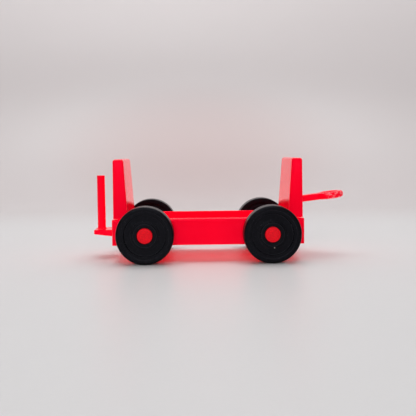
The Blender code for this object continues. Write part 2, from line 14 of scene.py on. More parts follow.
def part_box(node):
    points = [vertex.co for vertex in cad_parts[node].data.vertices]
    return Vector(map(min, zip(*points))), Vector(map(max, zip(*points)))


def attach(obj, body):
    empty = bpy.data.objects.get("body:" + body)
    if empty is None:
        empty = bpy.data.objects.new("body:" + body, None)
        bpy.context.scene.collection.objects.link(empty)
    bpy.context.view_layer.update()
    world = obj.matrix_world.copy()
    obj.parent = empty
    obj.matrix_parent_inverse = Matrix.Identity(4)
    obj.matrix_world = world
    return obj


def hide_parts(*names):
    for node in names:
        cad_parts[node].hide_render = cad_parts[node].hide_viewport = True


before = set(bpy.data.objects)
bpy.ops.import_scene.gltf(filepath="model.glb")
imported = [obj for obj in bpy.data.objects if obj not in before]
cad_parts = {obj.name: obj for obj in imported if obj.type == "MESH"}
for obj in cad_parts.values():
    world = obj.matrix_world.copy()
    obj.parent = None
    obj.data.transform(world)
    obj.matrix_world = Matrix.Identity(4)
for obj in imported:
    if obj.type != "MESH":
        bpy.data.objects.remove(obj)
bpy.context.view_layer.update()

FRONT, REAR = 1, -1
LEFT, RIGHT = 1, -1
GAP = 0.0003  # between fixed pieces
PRESS_GAP = 0.00003  # radial, where a rod is held
RUNNING_GAP = 0.00008  # radial, round what turns
SKIN = 0.00001  # how far a detailed piece stays inside its CAD box
OVERSHOOT = 0.001  # how far a cutter reaches past the face that it cuts

BODY_LOW, BODY_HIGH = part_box("deck_body")
CENTRE_X = (BODY_LOW.x + BODY_HIGH.x) / 2
BODY_HALF = ((BODY_HIGH.x - BODY_LOW.x) / 2 - SKIN, BODY_HIGH.y - SKIN)
BODY_TOP, BODY_BOTTOM = BODY_HIGH.z, BODY_LOW.z
BODY_ROUNDING = 0.0010
SKIRT_THICKNESS = 0.0017
CEILING = BODY_TOP - 0.0020  # under the shelf that each end board stands on
TRAY_HALF_LENGTH, TRAY_FLOOR, FLOOR_BOTTOM = 0.0340, 0.0155, 0.0140
TRAY_END_WALL = 0.0014
TRAY_CORNER = 0.0005
TRAY_FLARE = 0.00045  # of the rounded rim
CRADLE_Y = 0.0120  # where the webs and the base plate's cradles clamp the axles
CRADLE_HALF_LENGTH, CRADLE_HALF_THICKNESS = 0.0035, 0.0010
PLATE_TOP = 0.0096
SCREW_AT = (0.0130, 0.0125)
SCREW_RADIUS, SCREW_CORE_RADIUS, THREAD_PITCH = 0.0010, 0.00078, 0.00062
SCREW_LENGTH, SCREW_HEAD_RADIUS, SCREW_HEAD_HEIGHT, SCREW_SEAT_DEPTH = 0.0055, 0.0019, 0.0005, 0.0008
SCREW_SLOT = (0.0011, 0.00025, 0.00035)  # the cross's arm, half width and depth
BOSS_RADIUS, BOSS_BOTTOM = 0.0026, 0.0099

WHEEL_LOW, WHEEL_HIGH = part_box("wheel_front_right")
AXLE_Z = (WHEEL_LOW.z + WHEEL_HIGH.z) / 2
HALF_BASE = (WHEEL_LOW.x + WHEEL_HIGH.x) / 2 - CENTRE_X
WHEEL_RADIUS = (WHEEL_HIGH.z - WHEEL_LOW.z) / 2 - SKIN
WHEEL_THICKNESS = WHEEL_HIGH.y - WHEEL_LOW.y - 2 * SKIN
WHEEL_INNER_Y = -WHEEL_HIGH.y + SKIN
GATE_ANGLE = math.radians(-83)
GATE = (0.0058 * math.cos(GATE_ANGLE), 0.0058 * math.sin(GATE_ANGLE), 0.0)  # on the step round the hub
AXLE_RADIUS = 0.00125
CAP_POCKET_RADIUS, CAP_POCKET_DEPTH = 0.0035, 0.0024
COLLAR_RADII = (0.0053, 0.0063)  # of the two steps round the hub
RECESS_RADIUS, RIM_STEP_RADIUS = 0.0090, 0.0104
COLLAR_SINK, STEP_SINK, WEB_SINK, RIM_STEP = 0.0005, 0.0011, 0.0018, 0.0004  # below the wheel's face

BOARD_LOW, BOARD_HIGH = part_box("front_end_board")
BOARD_OUTER_X = BOARD_HIGH.x - CENTRE_X - SKIN
BOARD_TOP = BOARD_HIGH.z - SKIN
BOARD_HALF_WIDTH = BOARD_HIGH.y - SKIN
BOARD_INNER_X = BOARD_LOW.x - CENTRE_X + SKIN
BOARD_DRAFT = 0.0018
BOARD_WALL = 0.0012
BOARD_ROUNDING, BOARD_EDGE_ROUNDING = 0.0011, 0.0007  # along the top and up the sides
LEG_OFFSET_Y, LEG_WIDTH, LEG_THICKNESS = 0.0120, 0.0060, 0.0020
LEG_MIDDLE_X = BOARD_INNER_X + 0.0016
LEG_BOTTOM = BOARD_LOW.z + SKIN
LEG_BARB = 0.0007
RIB_OFFSET_Y, RIB_HALF_THICKNESS = 0.0046, 0.0008

PIN_LOW, PIN_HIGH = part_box("drawbar_pivot_pin")
PIVOT = (PIN_LOW + PIN_HIGH) / 2
DRAWBAR_TILT = math.radians(7)
DRAWBAR_THICKNESS, DRAWBAR_HALF_WIDTH, DRAWBAR_HUB_RADIUS = 0.0031, 0.0025, 0.0017
EYE_REACH, EYE_OUTER_RADIUS, EYE_INNER_RADIUS, EYE_ROUNDING = 0.01848, 0.0063, 0.0033, 0.0012
SLOT_HALF_WIDTH, SLOT_HALF_HEIGHT, SLOT_ROUNDING = 0.0029, 0.0030, 0.0007
PIN_RADIUS = 0.00075
PIN_SEAT_REACH = 0.0062

HITCH_LOW, HITCH_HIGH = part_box("rear_hitch")
LUG_TOP, LUG_THICKNESS, LUG_HALF_WIDTH = 0.01305, 0.0031, 0.0062
LUG_RISE = 0.0011  # of the underside, from root to tip
LUG_ROUNDING = 0.0004
POST_X = -0.0490
POST_RADII = (0.00188, 0.00181)  # at its foot and at its top
POST_FILLET, POST_RIM = 0.00095, 0.00018
TONGUE_HALF_WIDTH, TONGUE_BOTTOM, TONGUE_TOP = 0.0040, 0.0106, 0.0127
TONGUE_LENGTH, TONGUE_BARB = 0.0085, 0.0008


# Meshes


def new_object(name, bm):
    mesh = bpy.data.meshes.new(name)
    bm.to_mesh(mesh)
    bm.free()
    made = bpy.data.objects.new(name, mesh)
    bpy.context.scene.collection.objects.link(made)
    return made


def block_mesh(low, high):
    bm = bmesh.new()
    low, high = Vector(low), Vector(high)
    bmesh.ops.create_cube(bm, size=1.0)
    bmesh.ops.scale(bm, vec=high - low, verts=bm.verts)
    bmesh.ops.translate(bm, vec=(low + high) / 2, verts=bm.verts)
    return bm


def rounded_block(name, low, high, width, segments=6, skip=None, draft=(0.0, 0.0, 0.0)):
    """A block whose edges are rounded, save those whose middle makes skip() true.

    draft moves the top: its low-x side, its high-x side and both its y sides, all inwards.
    """
    bm = block_mesh(low, high)
    for v in bm.verts:
        if v.co.z < high[2] - 1e-6:
            continue
        v.co.x += draft[0] if v.co.x < (low[0] + high[0]) / 2 else -draft[1]
        v.co.y -= math.copysign(draft[2], v.co.y - (low[1] + high[1]) / 2)
    if width:
        chosen = [e for e in bm.edges if not (skip and skip((e.verts[0].co + e.verts[1].co) / 2))]
        bmesh.ops.bevel(
            bm, geom=chosen, offset=width, segments=segments, profile=0.5, affect="EDGES", clamp_overlap=True
        )
    return new_object(name, bm)


def rod(name, radius, start, end, axis="Z", steps=48):
    bm = bmesh.new()
    start, end = Vector(start), Vector(end)
    bmesh.ops.create_cone(
        bm, cap_ends=True, segments=steps, radius1=radius, radius2=radius, depth=(end - start).length
    )
    if axis == "Y":
        bmesh.ops.rotate(bm, matrix=Matrix.Rotation(-math.pi / 2, 4, "X"), verts=bm.verts)
    bmesh.ops.translate(bm, vec=(start + end) / 2, verts=bm.verts)
    return new_object(name, bm)


def filleted(points, closed=False):
    """A section's corners made round. Each point is (radius, height, fillet)."""
    made = []
    count = len(points)
    for i, (radius, height, fillet) in enumerate(points):
        here = Vector((radius, height))
        inner = closed or 0 < i < count - 1
        if not inner or not fillet:
            made.append(here)
            continue
        before = Vector(points[i - 1][:2]) - here
        after = Vector(points[(i + 1) % count][:2]) - here
        angle = before.angle(after)
        if angle > math.pi - 0.01:
            made.append(here)
            continue
        reach = min(fillet / math.tan(angle / 2), before.length * 0.49, after.length * 0.49)
        size = reach * math.tan(angle / 2)
        middle = here + (before.normalized() + after.normalized()).normalized() * (size / math.sin(angle / 2))
        first, last = here + before.normalized() * reach, here + after.normalized() * reach
        start, stop = first - middle, last - middle
        turn = start.angle_signed(stop)
        steps = max(2, math.ceil(abs(turn) / math.radians(18)))
        for k in range(steps + 1):
            made.append(middle + Matrix.Rotation(-turn * k / steps, 2) @ start)
    return [(p.x, p.y) for p in made]


def lathe(name, section, steps=96, closed=False):
    """A section of (radius, height) turned about Z. It runs so that its normals point outwards."""
    bm = bmesh.new()
    rings = []
    for radius, height in section:
        if radius < 1e-7:
            rings.append([bm.verts.new((0, 0, height))])
            continue
        turns = [2 * math.pi * k / steps for k in range(steps)]
        rings.append([bm.verts.new((radius * math.cos(a), radius * math.sin(a), height)) for a in turns])
    pairs = list(zip(rings, rings[1:]))
    if closed:
        pairs.append((rings[-1], rings[0]))
    for above, below in pairs:
        for k in range(steps):
            after = (k + 1) % steps
            if len(above) == 1:
                bm.faces.new((above[0], below[k], below[after]))
            elif len(below) == 1:
                bm.faces.new((above[k], below[0], above[after]))
            else:
                bm.faces.new((above[k], below[k], below[after], above[after]))
    bmesh.ops.recalc_face_normals(bm, faces=bm.faces)
    return new_object(name, bm)


def boolean(made, others, operation):
    for other in others:
        modifier = made.modifiers.new(operation.lower(), "BOOLEAN")
        modifier.operation = operation
        modifier.object = other
        modifier.solver = "EXACT"
    settle(made)
    for other in others:
        bpy.data.objects.remove(other)


def settle(made):
    """Replaces the mesh by what its modifiers make of it."""
    bpy.context.view_layer.update()
    graph = bpy.context.evaluated_depsgraph_get()
    mesh = bpy.data.meshes.new_from_object(made.evaluated_get(graph))
    made.modifiers.clear()
    made.data = mesh
    mesh.name = made.name


def soften(made, width, segments, angle):
    """A small round on what edges are left that turn by more than an angle, as a mould gives."""
    modifier = made.modifiers.new("round", "BEVEL")
    modifier.width = width
    modifier.segments = segments
    modifier.limit_method = "ANGLE"
    modifier.angle_limit = math.radians(angle)
    modifier.use_clamp_overlap = True
    settle(made)


def finished(made, body, nodes, material, sharp=32):
    """Smooth shading, a finish, the CAD body it rides on and the CAD nodes it stands for."""
    made.data.materials.clear()
    made.data.materials.append(material)
    made.data.shade_smooth()
    made.data.set_sharp_from_angle(angle=math.radians(sharp))
    weighted = made.modifiers.new("weighted", "WEIGHTED_NORMAL")
    weighted.keep_sharp = True
    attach(made, body)
    if nodes:
        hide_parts(*nodes)
    return made


def placed(made, shift):
    made.data.transform(Matrix.Translation(shift))


# Materials


class Finish:
    """A material's nodes, built from the shader backwards."""

    def __init__(self, name):
        self.material = bpy.data.materials.new(name)
        self.material.use_nodes = True
        self.tree = self.material.node_tree
        self.shader = self.tree.nodes["Principled BSDF"]
        self.place = self.tree.nodes.new("ShaderNodeTexCoord").outputs["Object"]

    def set(self, **values):
        for key, value in values.items():
            self.shader.inputs[key.replace("_", " ")].default_value = value

    def link(self, value, socket):
        if isinstance(value, bpy.types.NodeSocket):
            self.tree.links.new(value, socket)
        else:
            socket.default_value = value

    def stretched(self, scale, shift=(0, 0, 0)):
        node = self.tree.nodes.new("ShaderNodeMapping")
        node.inputs["Scale"].default_value = scale
        node.inputs["Location"].default_value = shift
        self.tree.links.new(self.place, node.inputs["Vector"])
        return node.outputs["Vector"]

    def noise(self, scale, detail=2.0, roughness=0.5, at=None):
        node = self.tree.nodes.new("ShaderNodeTexNoise")
        node.inputs["Scale"].default_value = scale
        node.inputs["Detail"].default_value = detail
        node.inputs["Roughness"].default_value = roughness
        self.tree.links.new(at or self.place, node.inputs["Vector"])
        return node.outputs["Fac"]

    def math(self, operation, first, second=0.0, third=0.0, clamp=False):
        node = self.tree.nodes.new("ShaderNodeMath")
        node.operation = operation
        node.use_clamp = clamp
        for value, socket in zip((first, second, third), node.inputs):
            self.link(value, socket)
        return node.outputs[0]

    def ramp(self, value, low, high, bottom=0.0, top=1.0):
        node = self.tree.nodes.new("ShaderNodeMapRange")
        node.interpolation_type = "SMOOTHSTEP"
        for key, number in (("From Min", low), ("From Max", high), ("To Min", bottom), ("To Max", top)):
            node.inputs[key].default_value = number
        self.tree.links.new(value, node.inputs["Value"])
        return node.outputs["Result"]

    def colours(self, factor, first, second):
        node = self.tree.nodes.new("ShaderNodeMix")
        node.data_type = "RGBA"
        self.link(factor, node.inputs["Factor"])
        for value, socket in ((first, node.inputs["A"]), (second, node.inputs["B"])):
            colour_socket = [s for s in node.inputs if s.name == socket.name and s.type == "RGBA"][0]
            if isinstance(value, bpy.types.NodeSocket):
                self.tree.links.new(value, colour_socket)
            else:
                colour_socket.default_value = (*value, 1.0)
        return [s for s in node.outputs if s.type == "RGBA"][0]

    def axis(self, name):
        node = self.tree.nodes.new("ShaderNodeSeparateXYZ")
        self.tree.links.new(self.place, node.inputs[0])
        return node.outputs[name]

    def bump(self, height, distance, strength=1.0, below=None):
        node = self.tree.nodes.new("ShaderNodeBump")
        node.inputs["Distance"].default_value = distance
        node.inputs["Strength"].default_value = strength
        self.tree.links.new(height, node.inputs["Height"])
        if below is not None:
            self.tree.links.new(below, node.inputs["Normal"])
        return node.outputs["Normal"]

    def use(self, colour=None, roughness=None, normal=None):
        for value, name in ((colour, "Base Color"), (roughness, "Roughness"), (normal, "Normal")):
            if value is not None:
                self.tree.links.new(value, self.shader.inputs[name])
        return self.material


RED = (0.960, 0.0010, 0.0180)
RED_DEEP = (0.880, 0.0008, 0.0170)
RED_PALE = (0.980, 0.240, 0.270)
RED_TINT = (1.0, 0.03, 0.10, 1.0)


def red_gloss(name, glow, scuffs=False):
    """Glossy moulded red: slight flow marks, hairline scratches and a barely wavy surface.

    glow stands in for the light that the translucent plastic scatters back out of itself.
    """
    made = Finish(name)
    made.set(IOR=1.49, Specular_IOR_Level=0.5, Specular_Tint=RED_TINT)
    made.set(Emission_Color=(1.0, 0.0, 0.02, 1.0), Emission_Strength=glow)
    flow = made.noise(70.0, 3.0, 0.55)
    cloud = made.noise(420.0, 4.0, 0.6)
    colour = made.colours(made.ramp(flow, 0.35, 0.70), RED, RED_DEEP)
    hair_x = made.ramp(made.noise(1.0, 2.0, 0.5, made.stretched((220.0, 9000.0, 9000.0))), 0.60, 0.72)
    hair_z = made.ramp(made.noise(1.0, 2.0, 0.5, made.stretched((7000.0, 7000.0, 260.0))), 0.62, 0.74)
    hairs = made.math("MAXIMUM", hair_x, hair_z)
    rough = made.math("MULTIPLY_ADD", cloud, 0.10, 0.085)
    rough = made.math("MULTIPLY_ADD", hairs, 0.09, rough)
    wavy = made.noise(55.0, 1.0)
    normal = made.bump(wavy, 0.00006)
    normal = made.bump(made.noise(5200.0, 3.0, 0.6), 0.000004, 1.0, normal)
    normal = made.bump(hairs, 0.000003, 1.0, normal)
    if scuffs:
        near = made.ramp(made.axis("Y"), -0.0010, -0.0034)
        along = made.ramp(made.axis("X"), 0.0475, 0.0500)
        along = made.math("MULTIPLY", along, made.ramp(made.axis("X"), 0.0558, 0.0570, 1.0, 0.0))
        chips = made.noise(1.0, 4.0, 0.62, made.stretched((700.0, 600.0, 1100.0)))
        chips = made.ramp(chips, 0.545, 0.585)
        chips = made.math("MULTIPLY", chips, made.math("MULTIPLY", near, along))
        specks = made.ramp(made.noise(1300.0, 3.0, 0.6), 0.66, 0.70)
        chips = made.math("MAXIMUM", chips, made.math("MULTIPLY", specks, along))
        colour = made.colours(made.math("MULTIPLY", chips, 0.85), colour, RED_PALE)
        rough = made.math("MULTIPLY_ADD", chips, 0.35, rough)
        normal = made.bump(chips, 0.00006, -1.0, normal)
    return made.use(colour, rough, normal)


def red_matt():
    """The hub caps' softer red: a spark-eroded face, finely mottled."""
    made = Finish("cap_red_matt")
    # A faint painted glow: red emission, as on the glossy red.
    made.set(Emission_Color=(1.0, 0.0, 0.02, 1.0), Emission_Strength=0.06)
    made.set(IOR=1.49, Specular_IOR_Level=0.5, Specular_Tint=(1.0, 0.15, 0.20, 1.0))
    mottle = made.noise(1500.0, 4.0, 0.65)
    colour = made.colours(made.ramp(mottle, 0.30, 0.72), (0.92, 0.006, 0.014), (0.66, 0.005, 0.011))
    rough = made.math("MULTIPLY_ADD", mottle, 0.22, 0.38)
    normal = made.bump(made.noise(3600.0, 4.0, 0.7), 0.00003, 0.9)
    return made.use(colour, rough, normal)


def black_plastic(name, speck=False):
    """Satin black: painted highlight rings at the steps round the hub and rim, a worn, greyer tread and
    perhaps a bright gate speck.
    """
    made = Finish(name)
    made.set(IOR=1.49, Specular_IOR_Level=0.5, Specular_Tint=(0.13, 0.13, 0.16, 1.0))
    radial = made.tree.nodes.new("ShaderNodeVectorMath")
    radial.operation = "LENGTH"
    flat = made.tree.nodes.new("ShaderNodeVectorMath")
    flat.operation = "MULTIPLY"
    flat.inputs[1].default_value = (1.0, 1.0, 0.0)
    made.tree.links.new(made.place, flat.inputs[0])
    made.tree.links.new(flat.outputs[0], radial.inputs[0])
    radius = radial.outputs["Value"]
    worn = made.ramp(radius, WHEEL_RADIUS - 0.0006, WHEEL_RADIUS - 0.0001)
    grain = made.noise(900.0, 4.0, 0.6)
    colour = made.colours(made.ramp(grain, 0.35, 0.70), (0.0020, 0.0019, 0.0026), (0.0036, 0.0034, 0.0045))
    rubbed = made.math("MULTIPLY", worn, made.ramp(grain, 0.35, 0.75, 0.3, 1.0))
    colour = made.colours(rubbed, colour, (0.018, 0.017, 0.018))
    # Painted highlights: thin pale rings at the radii of the face's steps, where light glints off their
    # rounded edges.
    edges = None
    for edge in (0.0050, COLLAR_RADII[1], 0.0088, RIM_STEP_RADIUS):
        off = made.math("ABSOLUTE", made.math("SUBTRACT", radius, edge))
        line = made.ramp(off, 0.00004, 0.00022, 1.0, 0.0)
        edges = line if edges is None else made.math("MAXIMUM", edges, line)
    colour = made.colours(made.math("MULTIPLY", edges, 0.5), colour, (0.026, 0.026, 0.031))
    rough = made.math("MULTIPLY_ADD", grain, 0.12, 0.20)
    rough = made.math("MULTIPLY_ADD", worn, 0.10, rough)
    if speck:
        spot = made.tree.nodes.new("ShaderNodeVectorMath")
        spot.operation = "DISTANCE"
        made.tree.links.new(flat.outputs[0], spot.inputs[0])
        spot.inputs[1].default_value = GATE
        dot = made.ramp(spot.outputs["Value"], 0.00018, 0.00032, 1.0, 0.0)
        colour = made.colours(dot, colour, (0.30, 0.25, 0.22))
    rings = made.math("SINE", made.math("MULTIPLY", radius, 2 * math.pi / 0.00042))
    normal = made.bump(made.math("MULTIPLY", rings, made.math("SUBTRACT", 1.0, worn)), 0.0000025)
    normal = made.bump(made.noise(2600.0, 3.0, 0.6), 0.000006, 1.0, normal)
    return made.use(colour, rough, normal)


def steel(name, axis_scale):
    """Drawn wire: fine lines along the rod and a slightly uneven shine."""
    made = Finish(name)
    made.set(Metallic=1.0)
    lines = made.noise(1.0, 3.0, 0.6, made.stretched(axis_scale))
    cloud = made.noise(500.0, 3.0, 0.6)
    colour = made.colours(made.ramp(cloud, 0.3, 0.7), (0.62, 0.61, 0.60), (0.50, 0.49, 0.49))
    rough = made.math("MULTIPLY_ADD", lines, 0.16, 0.16)
    normal = made.bump(lines, 0.000006)
    return made.use(colour, rough, normal)


GLOSS = red_gloss("body_red_gloss", glow=0.24)
BOARD_GLOSS = red_gloss("board_red_gloss", glow=0.24)
BAR_GLOSS = red_gloss("drawbar_red_gloss", glow=0.24, scuffs=True)
PLATE_GLOSS = red_gloss("plate_red_gloss", glow=0.60)
CAP_MATT = red_matt()
BLACK = black_plastic("wheel_black_plastic")
BLACK_SPECKED = black_plastic("wheel_black_plastic_specked", speck=True)
AXLE_STEEL = steel("axle_steel", (5000.0, 160.0, 5000.0))
SCREW_STEEL = steel("screw_steel", (3000.0, 3000.0, 3000.0))


# Pieces


def corners():
    for end in (FRONT, REAR):
        for side in (LEFT, RIGHT):
            name = ("front" if end == FRONT else "rear") + ("_left" if side == LEFT else "_right")
            yield end, side, name


def tray_cutter():
    """The load space: a rounded box whose rim flares out in a smooth quarter round."""
    half_x, half_y = TRAY_HALF_LENGTH, BODY_HALF[1] - SKIRT_THICKNESS
    low, high = (-half_x, -half_y, TRAY_FLOOR), (half_x, half_y, BODY_TOP + OVERSHOOT)
    box = rounded_block("tray", low, high, TRAY_CORNER, 5, lambda m: m.z > BODY_TOP)
    levels = []
    for k in range(7):
        a = math.radians(15 * k)
        levels.append((BODY_TOP - TRAY_FLARE * (1 - math.sin(a)), TRAY_FLARE * (1 - math.cos(a))))
    levels.append((BODY_TOP + 0.8 * OVERSHOOT, TRAY_FLARE + SKIN))
    bm = bmesh.new()
    rings = []
    for z, grow in levels:
        ring = []
        for x, y, start in ((1, 1, 0), (-1, 1, 90), (-1, -1, 180), (1, -1, 270)):
            for k in range(6):
                a = math.radians(start + 18 * k)
                radius = TRAY_CORNER + grow
                ring_x = x * (half_x - TRAY_CORNER) + radius * math.cos(a)
                ring_y = y * (half_y - TRAY_CORNER) + radius * math.sin(a)
                ring.append(bm.verts.new((ring_x, ring_y, z)))
        rings.append(ring)
    count = len(rings[0])
    for lower, upper in zip(rings, rings[1:]):
        for k in range(count):
            after = (k + 1) % count
            bm.faces.new((lower[k], lower[after], upper[after], upper[k]))
    bm.faces.new(rings[0][::-1])
    bm.faces.new(rings[-1])
    return [box, new_object("flare", bm)]


def body_hollows():
    """The space under the tray, and a taller one under the shelf at each end."""
    inner_x, inner_y = BODY_HALF[0] - SKIRT_THICKNESS, BODY_HALF[1] - SKIRT_THICKNESS
    below = (-inner_x, -inner_y, BODY_BOTTOM - OVERSHOOT)
    made = [rounded_block("hollow", below, (inner_x, inner_y, FLOOR_BOTTOM), 0.0005, 3)]
    for end in (FRONT, REAR):
        low_x, high_x = sorted((end * (TRAY_HALF_LENGTH + TRAY_END_WALL), end * inner_x))
        deep = (low_x, -inner_y, FLOOR_BOTTOM - OVERSHOOT)
        made.append(rounded_block("hollow", deep, (high_x, inner_y, CEILING), 0.0004, 3))
    return made


def webs_and_bosses():
    """They hang from the tray's floor: the webs press on the axles, the bosses take the screws."""
    made = []
    root = FLOOR_BOTTOM + 0.0007
    reach_x, reach_y = CRADLE_HALF_LENGTH, CRADLE_HALF_THICKNESS
    for end, side, name in corners():
        x, y = end * HALF_BASE, side * CRADLE_Y
        web = block_mesh((x - reach_x, y - reach_y, AXLE_Z + GAP / 2), (x + reach_x, y + reach_y, root))
        made.append(new_object("web", web))
        x, y = end * SCREW_AT[0], side * SCREW_AT[1]
        made.append(rod("boss", BOSS_RADIUS, (x, y, BOSS_BOTTOM), (x, y, root), "Z", 40))
    return made


def body_holes():
    """Axle bores, seats and slots for the end boards, screw holes and the hitch's window."""
    half_x, half_y = BODY_HALF
    made = []
    reach = half_y + OVERSHOOT
    for end in (FRONT, REAR):
        x = end * HALF_BASE
        made.append(rod("bore", AXLE_RADIUS + GAP, (x, -reach, AXLE_Z), (x, reach, AXLE_Z), "Y"))
        low_x, high_x = sorted((end * (BOARD_INNER_X - GAP), end * (half_x + OVERSHOOT)))
        seat = block_mesh((low_x, -2 * half_y, BODY_TOP - GAP), (high_x, 2 * half_y, BODY_TOP + OVERSHOOT))
        made.append(new_object("seat", seat))
    reach_x, reach_y = LEG_THICKNESS / 2 + GAP, LEG_WIDTH / 2 + GAP
    for end, side, name in corners():
        x, y = end * LEG_MIDDLE_X, side * LEG_OFFSET_Y
        low = (x - reach_x, y - reach_y, CEILING - OVERSHOOT)
        high = (x + reach_x, y + reach_y, BODY_TOP + OVERSHOOT)
        made.append(new_object("slot", block_mesh(low, high)))
        x, y = end * SCREW_AT[0], side * SCREW_AT[1]
        made.append(rod("pilot", 0.00103, (x, y, BODY_BOTTOM), (x, y, FLOOR_BOTTOM - 0.0002), "Z", 32))
    window = TONGUE_HALF_WIDTH + GAP
    low = (-half_x - OVERSHOOT, -window, TONGUE_BOTTOM - GAP)
    high = (-half_x + SKIRT_THICKNESS + OVERSHOOT, window, TONGUE_TOP + GAP)
    made.append(new_object("window", block_mesh(low, high)))
    return made


def make_body():
    half_x, half_y = BODY_HALF
    low, high = (-half_x, -half_y, BODY_BOTTOM), (half_x, half_y, BODY_TOP)
    body = rounded_block("body_moulding", low, high, BODY_ROUNDING, 8, lambda m: m.z < BODY_BOTTOM + GAP)
    boolean(body, [*tray_cutter(), *body_hollows()], "DIFFERENCE")
    boolean(body, webs_and_bosses(), "UNION")
    boolean(body, body_holes(), "DIFFERENCE")
    placed(body, (CENTRE_X, 0, 0))
    finished(body, "chassis", ["deck_body"], GLOSS)


def round_board(board, foot):
    """The top edges are rounder than the upright ones, and the foot is square."""
    weights = board.data.attributes.new("bevel_weight_edge", "FLOAT", "EDGE").data
    for edge, weight in zip(board.data.edges, weights):
        z = sum(board.data.vertices[v].co.z for v in edge.vertices) / 2
        upright = BOARD_EDGE_ROUNDING / BOARD_ROUNDING
        weight.value = 0.0 if z < foot + GAP else 1.0 if z > BOARD_TOP - GAP else upright
    modifier = board.modifiers.new("round", "BEVEL")
    modifier.width = BOARD_ROUNDING
    modifier.segments = 8
    modifier.limit_method = "WEIGHT"
    settle(board)


def board_legs(foot):
    """Two legs that snap under the body's shelf with a barb each."""
    made = []
    reach = LEG_WIDTH / 2
    for side in (LEFT, RIGHT):
        y = side * LEG_OFFSET_Y
        low = (LEG_MIDDLE_X - LEG_THICKNESS / 2, y - reach, LEG_BOTTOM)
        high = (LEG_MIDDLE_X + LEG_THICKNESS / 2, y + reach, foot + 0.006)
        made.append(new_object("leg", block_mesh(low, high)))
        low = (LEG_MIDDLE_X, y - reach, LEG_BOTTOM)
        high = (LEG_MIDDLE_X + LEG_THICKNESS / 2 + LEG_BARB, y + reach, CEILING - GAP)
        barb = block_mesh(low, high)
        for v in barb.verts:
            if v.co.z < (low[2] + high[2]) / 2 and v.co.x > LEG_MIDDLE_X + LEG_BARB:
                v.co.x -= LEG_BARB
        made.append(new_object("barb", barb))
    return made


def pin_ribs(foot):
    """They cross the hollow front board and hold the ends of the drawbar's pin."""
    made = []
    half = BOARD_WALL / 2
    for side in (LEFT, RIGHT):
        y = side * RIB_OFFSET_Y
        low = (BOARD_INNER_X + half, y - RIB_HALF_THICKNESS, foot)
        high = (BOARD_OUTER_X - half, y + RIB_HALF_THICKNESS, BOARD_TOP - half)
        made.append(rounded_block("rib", low, high, 0.0, 1, None, (BOARD_DRAFT, 0.0, 0.0)))
    return made


def pin_cuts(foot):
    """The pin's seat, the groove that it slides up and the drawbar's slot in the outer wall."""
    x, z, radius, reach = PIVOT.x - CENTRE_X, PIVOT.z, PIN_RADIUS + PRESS_GAP, PIN_SEAT_REACH
    seat = rod("seat", radius, (x, -reach, z), (x, reach, z), "Y", 32)
    groove = new_object("groove", block_mesh((x - radius, -reach, foot - OVERSHOOT), (x + radius, reach, z)))
    low = (BOARD_OUTER_X - BOARD_WALL - 0.0005, -SLOT_HALF_WIDTH, z - SLOT_HALF_HEIGHT)
    high = (BOARD_OUTER_X + OVERSHOOT, SLOT_HALF_WIDTH, z + SLOT_HALF_HEIGHT)
    middle_x = (low[0] + high[0]) / 2
    slot = rounded_block("slot", low, high, SLOT_ROUNDING, 5, lambda m: abs(m.x - middle_x) > 1e-6)
    return [seat, groove, slot]


def make_board(name, end):
    foot = BODY_TOP + SKIN
    low = (BOARD_INNER_X, -BOARD_HALF_WIDTH, foot)
    high = (BOARD_OUTER_X, BOARD_HALF_WIDTH, BOARD_TOP)
    draft = (BOARD_DRAFT, 0.0, BOARD_DRAFT)
    board = rounded_block(name, low, high, 0.0, 1, None, draft)
    round_board(board, foot)
    core_low = (low[0] + BOARD_WALL, low[1] + BOARD_WALL, foot - OVERSHOOT)
    core_high = (high[0] - BOARD_WALL, high[1] - BOARD_WALL, BOARD_TOP - BOARD_WALL)
    core = rounded_block("core", core_low, core_high, 0.0004, 3, None, draft)
    boolean(board, [core], "DIFFERENCE")
    added = board_legs(foot)
    if end == FRONT:
        added += pin_ribs(foot)
    boolean(board, added, "UNION")
    if end == FRONT:
        boolean(board, pin_cuts(foot), "DIFFERENCE")
    if end == REAR:
        board.data.transform(Matrix.Rotation(math.pi, 4, "Z"))
    placed(board, (CENTRE_X, 0, 0))
    finished(board, "chassis", [name.replace("_moulding", "")], BOARD_GLOSS)


def make_drawbar():
    """One smooth moulding: the eye, the bar and the hub run into each other with small fillets."""
    half = DRAWBAR_THICKNESS / 2 - SKIN
    outer, inner = EYE_OUTER_RADIUS - SKIN, EYE_INNER_RADIUS + SKIN
    corners_of_section = [(outer, half), (outer, -half), (inner, -half), (inner, half)]
    section = filleted([(*corner, EYE_ROUNDING) for corner in corners_of_section], closed=True)
    bar = lathe("drawbar_moulding", section, 128, closed=True)
    placed(bar, (EYE_REACH, 0, 0))
    reach = DRAWBAR_HALF_WIDTH
    rail_half = half - 0.00004
    rail = rounded_block("rail", (0, -reach, -rail_half), (0.0140, reach, rail_half), 0.00045, 4)
    hub = rod("hub", DRAWBAR_HUB_RADIUS - SKIN, (0, -reach, 0), (0, reach, 0), "Y", 64)
    boolean(bar, [rail, hub], "UNION")
    remesh = bar.modifiers.new("remesh", "REMESH")
    remesh.mode = "VOXEL"
    remesh.voxel_size = 0.00014
    smooth = bar.modifiers.new("smooth", "SMOOTH")
    smooth.factor = 0.5
    smooth.iterations = 5
    settle(bar)
    past = reach + OVERSHOOT
    bore = rod("bore", PIN_RADIUS + RUNNING_GAP, (0, -past, 0), (0, past, 0), "Y", 48)
    boolean(bar, [bore], "DIFFERENCE")
    bar.data.transform(Matrix.Translation(PIVOT) @ Matrix.Rotation(-DRAWBAR_TILT, 4, "Y"))
    finished(bar, "drawbar", ["drawbar"], BAR_GLOSS, 40)


